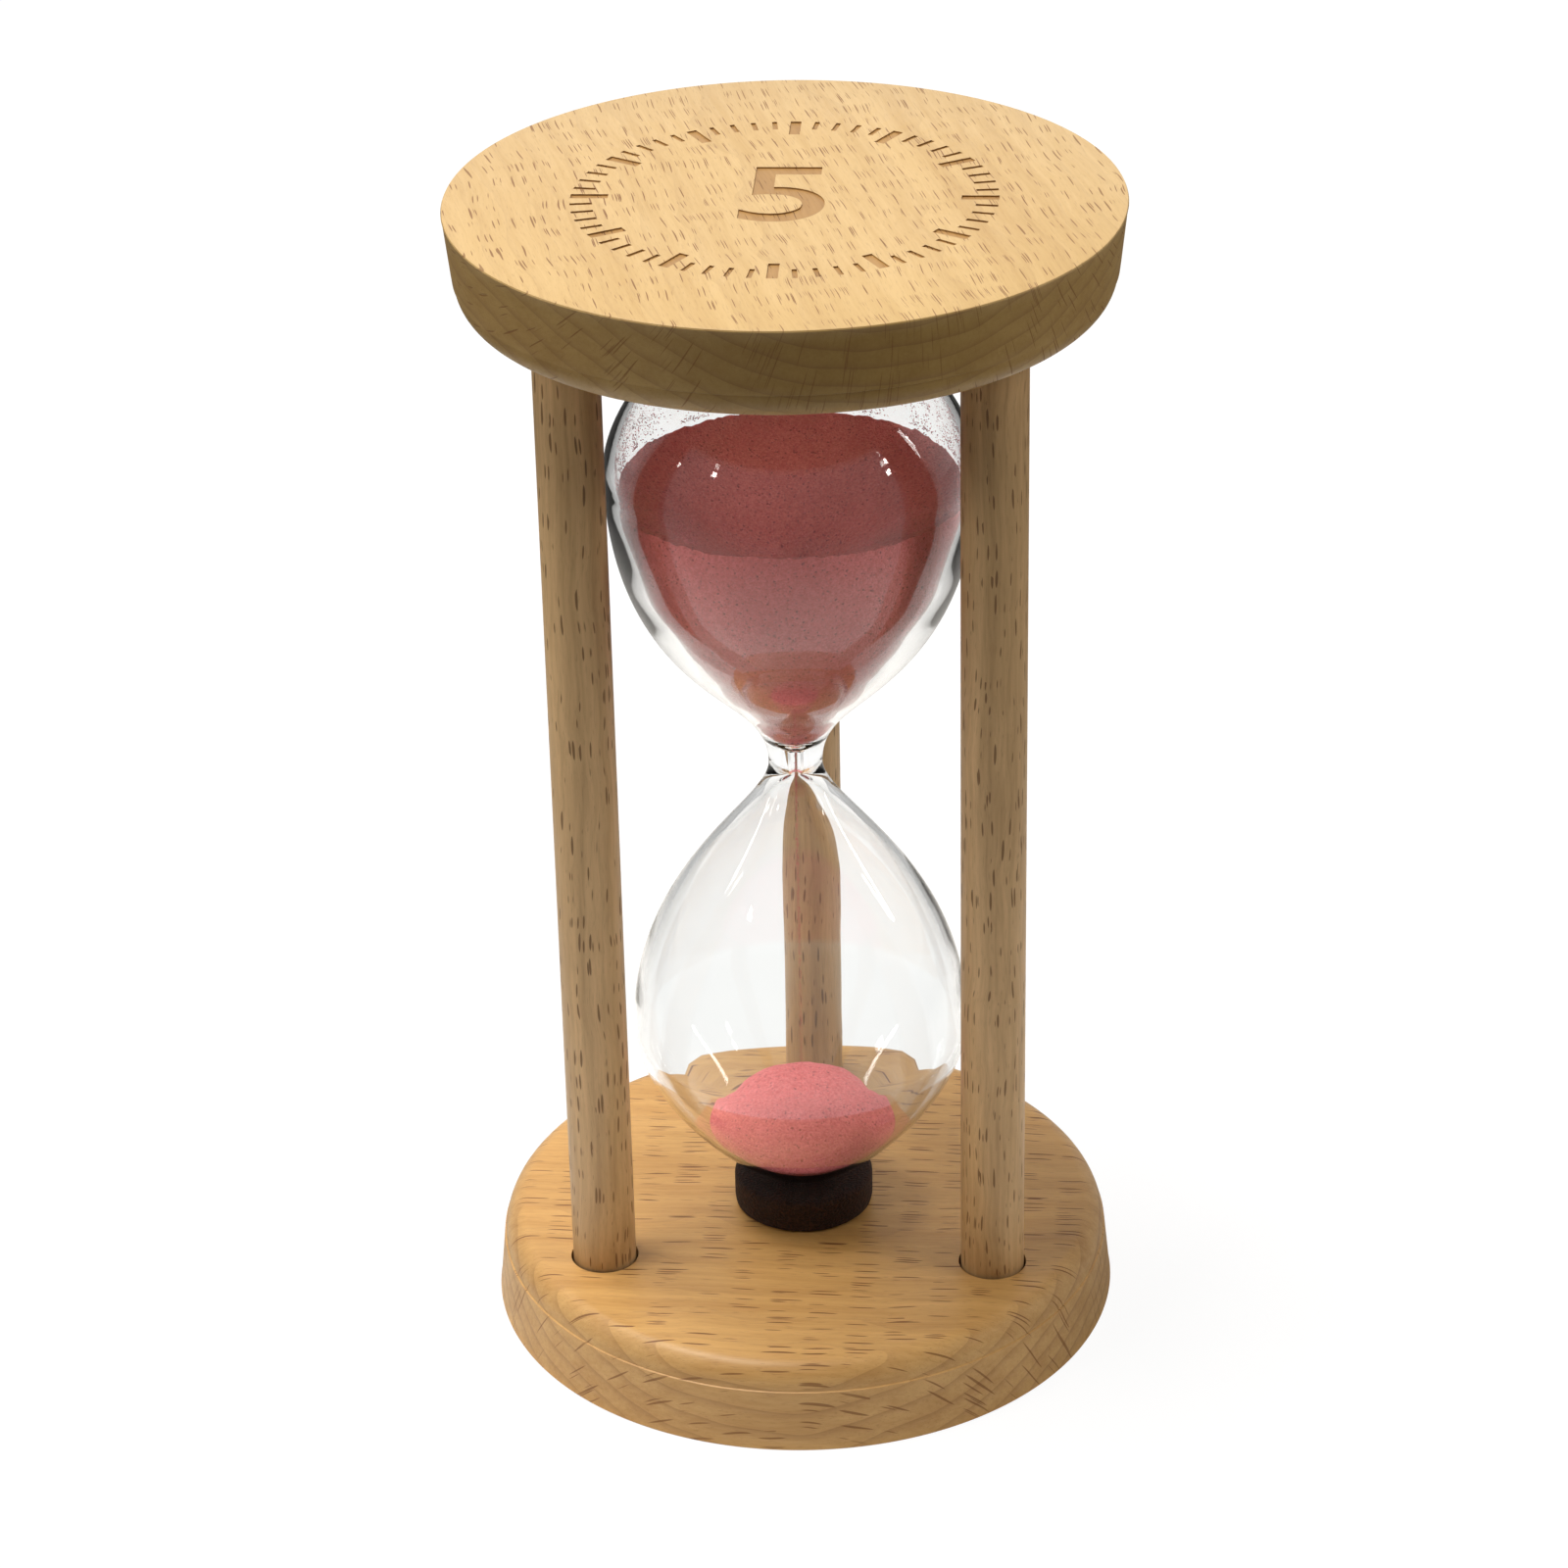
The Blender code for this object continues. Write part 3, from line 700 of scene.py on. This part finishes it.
def pink_sand(name, light, deep, dark):
    """Grains of dyed quartz, each with a shade and a tilt of its own."""
    finish = bpy.data.materials.new(name)
    finish.use_nodes = True
    tree = finish.node_tree
    shader = tree.nodes["Principled BSDF"]
    place = node(tree, "TexCoord").outputs["Object"]
    grains = node(tree, "TexVoronoi", {"Vector": place, "Scale": 4600.0})
    shade = node(tree, "SeparateColor", {0: grains.outputs["Color"]})
    drift = node(tree, "TexNoise", {"Vector": place, "Scale": 240.0, "Detail": 4.0}).outputs["Fac"]
    body = mix(tree, shade.outputs[0], (*light, 1), (*deep, 1))
    rare = calc(tree, "MULTIPLY", calc(tree, "SUBTRACT", shade.outputs[1], 0.93), 12.0, clamp=True)
    specked = mix(tree, rare, body, (*dark, 1))
    patch = calc(tree, "MULTIPLY", calc(tree, "SUBTRACT", drift, 0.42), 0.9, clamp=True)
    dyed = mix(tree, patch, specked, (*deep, 1))
    tree.links.new(dyed, shader.inputs["Base Color"])
    rough = calc(tree, "ADD", 0.62, calc(tree, "MULTIPLY", shade.outputs[2], 0.3))
    tree.links.new(rough, shader.inputs["Roughness"])
    bumps = calc(tree, "SUBTRACT", calc(tree, "MULTIPLY", drift, 1.2), grains.outputs["Distance"])
    relief = node(tree, "Bump", {"Height": bumps, "Strength": 0.8, "Distance": 0.00012})
    tree.links.new(relief.outputs[0], shader.inputs["Normal"])
    return finish


def inset(outline, distance):
    """A bulb outline moved towards the inside of the bulb."""
    moved = []
    for i, (radius, height) in enumerate(outline):
        run = Vector(outline[min(i + 1, len(outline) - 1)]) - Vector(outline[max(i - 1, 0)])
        run.normalize()
        if radius < 1e-6:
            run = Vector((-1, 0))
        moved.append((radius - distance * run.y, height + distance * run.x))
    return moved


pink = pink_sand("pink_sand", (0.78, 0.205, 0.205), (0.61, 0.122, 0.122), (0.22, 0.035, 0.035))
upper_inside_line = upper_inside()
funnel_wall = inset(upper_inside_line, SAND_CLEAR)
against_glass = [point for point in funnel_wall if FUNNEL_BOTTOM < point[1] < SAND_LEVEL]
rim_radius, rim_height = against_glass[-1]
crater = [(0, rim_height - CRATER_DEPTH), (CRATER_FLOOR, rim_height - CRATER_DEPTH + CRATER_CUP)]
for i in range(1, 40):
    share = i / 40
    height = rim_height - CRATER_DEPTH * (1 - share) ** 1.15 + CRATER_CUP * (1 - share)
    crater.append((CRATER_FLOOR + share * (rim_radius - CRATER_FLOOR), height))
fill_section = above_neck(crater + against_glass[::-1] + [(0.0008, FUNNEL_BOTTOM), (0, FUNNEL_BOTTOM)])
funnel_fill = turned(fill_section, 240)
for point in funnel_fill.verts:
    radius, height = math.hypot(point.co.x, point.co.y), point.co.z - NECK_HEIGHT
    crest = math.exp(-((height - rim_height) / 0.0008) ** 2) * (radius / rim_radius) ** 6
    uneven = 0.00035 * crest * noise.noise(point.co * 420)
    ragged = 0.00030 * crest * noise.noise(point.co * 2100)
    point.co.z += uneven + ragged
    if height > 0.026 and radius < rim_radius - 0.0006:
        point.co.z += 0.00030 * noise.noise(point.co * 260) + 0.00010 * noise.noise(point.co * 1100)
    wall = wall_radius(upper_inside_line, point.co.z - NECK_HEIGHT) - SAND_CLEAR
    if radius > wall:
        point.co.xy *= wall / radius
# Painted light and shade: a lighter copy of the sand colour for the sand against the glass, a darker copy
# for the crater.
sand_painted_light = pink_sand("pink_sand_painted_light", (0.98, 0.268, 0.255), (0.80, 0.172, 0.160), (0.30, 0.052, 0.047))
sand_painted_shade = pink_sand("pink_sand_painted_shade", (0.70, 0.165, 0.145), (0.54, 0.098, 0.082), (0.18, 0.026, 0.022))
# Faces that look upwards, above the lower funnel, take the darker copy as painted shade.
for face in funnel_fill.faces:
    face_height = face.calc_center_median().z - NECK_HEIGHT
    face.material_index = 1 if face.normal.z > 0.05 and face_height > 0.020 else 0
upper = finish_piece("sand_above", funnel_fill, [sand_painted_light, sand_painted_shade], 60)
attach(upper, "vessel")
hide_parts("upper_sand")


def scatter(name, places, smallest, largest, seed):
    """Loose grains: small blunt stones of 20 faces, each turned its own way."""
    chance = random.Random(seed)
    one = bmesh.new()
    bmesh.ops.create_icosphere(one, subdivisions=1, radius=1)
    stone = bpy.data.meshes.new("stone")
    one.to_mesh(stone)
    one.free()
    shape = bmesh.new()
    for place in places:
        size = chance.uniform(smallest, largest)
        swing = chance.uniform(0, math.tau)
        axis = Vector((chance.gauss(0, 1), chance.gauss(0, 1), 1))
        turn = Matrix.Rotation(swing, 4, axis)
        flat = Matrix.Diagonal((size, size * chance.uniform(0.6, 1), size * chance.uniform(0.6, 1), 1))
        laid = Matrix.Translation(place) @ turn @ flat
        stone.transform(laid)
        shape.from_mesh(stone)
        stone.transform(laid.inverted())
    bpy.data.meshes.remove(stone)
    return finish_piece(name, shape, [pink], 80)


def on_wall(outline, height, angle, clear):
    """A point just inside the glass at a height from the neck."""
    radius = wall_radius(outline, height) - clear
    return Vector((radius * math.cos(angle), radius * math.sin(angle), NECK_HEIGHT + height))


chance = random.Random(5)
clinging = []
while len(clinging) < CLINGING_GRAINS:
    height = SAND_LEVEL + chance.random() ** 2.0 * CLINGING_REACH
    angle = chance.uniform(0, math.tau)
    thick = noise.noise(Vector((math.cos(angle) * 9, math.sin(angle) * 9, height * 380)))
    if chance.random() < 0.45 + 1.6 * thick:
        clinging.append(on_wall(upper_inside_line, height, angle, 0.00012))
stray = scatter("clinging_grains", clinging, 0.00004, 0.00011, 7)
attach(stray, "vessel")

# ---------------------------------------------------------------------------------------------
# A thread of falling grains leaves the bore and drops onto the middle of the heap. The grains
# part as they fall, so that the thread grows fainter.
FALLING_GRAINS, THREAD_RADIUS = 1500, 0.00024

stream_low, stream_high = (corner.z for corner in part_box("sand_stream"))
falling = []
chance = random.Random(11)
while len(falling) < FALLING_GRAINS:
    drop = chance.random() ** 1.6
    spread = 0.00007 + 0.00010 * drop
    height = stream_high - 0.0002 - drop * (stream_high - stream_low - 0.0006)
    falling.append(Vector((chance.gauss(0, spread), chance.gauss(0, spread), height)))
falling = [place for place in falling if place.xy.length < THREAD_RADIUS]
stream = scatter("falling_sand", falling, 0.00003, 0.00006, 3)
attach(stream, "vessel")
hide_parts("sand_stream")

# ---------------------------------------------------------------------------------------------
# The sand that has run through lies loose in the lower bulb. It is a low rounded mound of the
# same dyed quartz, with its edge against the glass.
HEAP_RADIUS, HEAP_HEIGHT = 0.0124, 0.0048
bowl = [point for point in inset(lower_inside(), SAND_CLEAR)[-40:] if point[0] < HEAP_RADIUS]
edge_radius, edge_drop = bowl[0]
mound = []
for i in range(36):
    share = i / 36
    dimple = 1 - 0.05 * math.exp(-(share / 0.10) ** 2)
    mound.append((share * edge_radius, -edge_drop + HEAP_HEIGHT * (1 - share ** 3.0) * dimple))
heap = turned(above_neck(mound) + below_neck(bowl), 200)
for point in heap.verts:
    radius, height = math.hypot(point.co.x, point.co.y), point.co.z - NECK_HEIGHT
    if height > -edge_drop - 0.0002 and radius < edge_radius - 0.0004:
        swell = 0.00022 * noise.noise(point.co * 300)
        ragged = 0.00008 * noise.noise(point.co * 1400)
        point.co.z += swell + ragged - 0.0001
lower = finish_piece("sand_heap", heap, [pink], 60)
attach(lower, "vessel")
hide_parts("lower_sand")

# ---------------------------------------------------------------------------------------------
# Each bulb rests in a disc of dark sponge rubber glued to the wood. The open cells show on its
# cut side, its edges are slightly rounded, and the glass has pressed a hollow into it.
PAD_RADIUS, PAD_HEIGHT, PAD_EDGE = 0.0090, 0.0042, 0.0006


def sponge():
    finish = bpy.data.materials.new("dark_sponge")
    finish.use_nodes = True
    tree = finish.node_tree
    shader = tree.nodes["Principled BSDF"]
    place = node(tree, "TexCoord").outputs["Object"]
    cells = node(tree, "TexVoronoi", {"Vector": place, "Scale": 3200.0}).outputs["Distance"]
    lumps = node(tree, "TexNoise", {"Vector": place, "Scale": 420.0, "Detail": 5.0, "Roughness": 0.65})
    coarse = lumps.outputs["Fac"]
    rubber = mix(tree, coarse, (0.018, 0.0065, 0.0036, 1), (0.100, 0.036, 0.019, 1))
    # The pits of the open cells are painted near black: painted shade in the hollows, over the rubber's own
    # dark brown.
    pits_painted_shade = mix(tree, calc(tree, "MULTIPLY", cells, 0.9, clamp=True), (0.006, 0.004, 0.003, 1), rubber)
    tree.links.new(pits_painted_shade, shader.inputs["Base Color"])
    tree.links.new(calc(tree, "ADD", 0.78, calc(tree, "MULTIPLY", coarse, 0.2)), shader.inputs["Roughness"])
    bumps = calc(tree, "ADD", calc(tree, "MULTIPLY", coarse, 0.7), cells)
    relief = node(tree, "Bump", {"Height": bumps, "Strength": 0.9, "Distance": 0.00025})
    tree.links.new(relief.outputs[0], shader.inputs["Normal"])
    return finish


def pad_section(outline, bulb_end, face, into):
    """Section of a pad on a face. Its hollow follows the bulb's end, which lies bulb_end away."""
    reach = abs(bulb_end - face)
    low, high = face, face + into * PAD_HEIGHT
    hollow = []
    for radius, height in outline[::-1]:
        gap = reach + (outline[-1][1] - height) - 0.0003
        if gap < PAD_HEIGHT - 0.0001 and radius < PAD_RADIUS - PAD_EDGE:
            hollow.append((radius + 0.0001, face + into * gap))
    if hollow[0][0] > 0.0005:
        hollow = [(0, hollow[0][1])] + hollow
    else:
        hollow[0] = (0, hollow[0][1])
    edge = []
    for i in range(7):
        angle = math.radians(90 * i / 6)
        out, fall = PAD_EDGE * math.sin(angle), PAD_EDGE * (1 - math.cos(angle))
        edge.append((PAD_RADIUS - PAD_EDGE + out, high - into * fall))
    side = [(PAD_RADIUS, high - into * (PAD_EDGE + 0.0034 * i / 8)) for i in range(1, 8)]
    return hollow + edge + side + [(PAD_RADIUS - 0.0001, low), (0.004, low), (0, low)]


dark_sponge = sponge()
for name, node_name, outline, bulb_end, into in (
    ("lower_foam", "lower_pad", lower_outside(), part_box("glass_vessel")[0].z, 1),
    ("upper_foam", "upper_pad", upper_outside(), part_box("glass_vessel")[1].z, -1),
):
    low, high = (corner.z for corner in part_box(node_name))
    face = low if into > 0 else high
    foam = turned(pad_section(outline, bulb_end, face, into), 160)
    for point in foam.verts:
        radius = math.hypot(point.co.x, point.co.y)
        if radius > PAD_RADIUS - 0.0008:
            rough = noise.noise(point.co * 900) * 0.5 + noise.noise(point.co * 2600) * 0.5
            point.co.xy *= 1 - (0.00006 + 0.00010 * abs(rough)) / radius
    pad = finish_piece(name, foam, [dark_sponge], 60)
    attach(pad, "frame")
    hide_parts(node_name)
